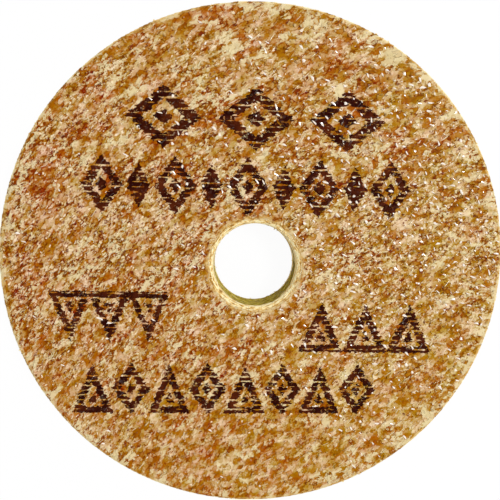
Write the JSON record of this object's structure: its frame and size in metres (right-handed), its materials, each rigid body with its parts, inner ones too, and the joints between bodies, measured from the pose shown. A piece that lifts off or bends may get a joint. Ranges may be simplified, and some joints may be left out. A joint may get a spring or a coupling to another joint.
{
  "type": "cotton buffing wheel",
  "caption": "Small flat wheel of resin-bonded cotton plies and abrasive grain with a plain central bore, for deburring and polishing metal on a spindle.",
  "frame": {"origin": "centre of the back face, on the axis of the bore; the wheel lies on this face", "axes": "+Z along the bore, out of the marked front face; +Y is the top of the pictured face"},
  "size_m": [0.0382, 0.0382, 0.0032],
  "materials": {
    "bonded_cotton": "rough pressed cotton with tan and amber abrasive grain and a few glassy resin glints"
  },
  "bodies": {
    "root": {"buffing_wheel": "bonded_cotton"}
  },
  "joints": []
}
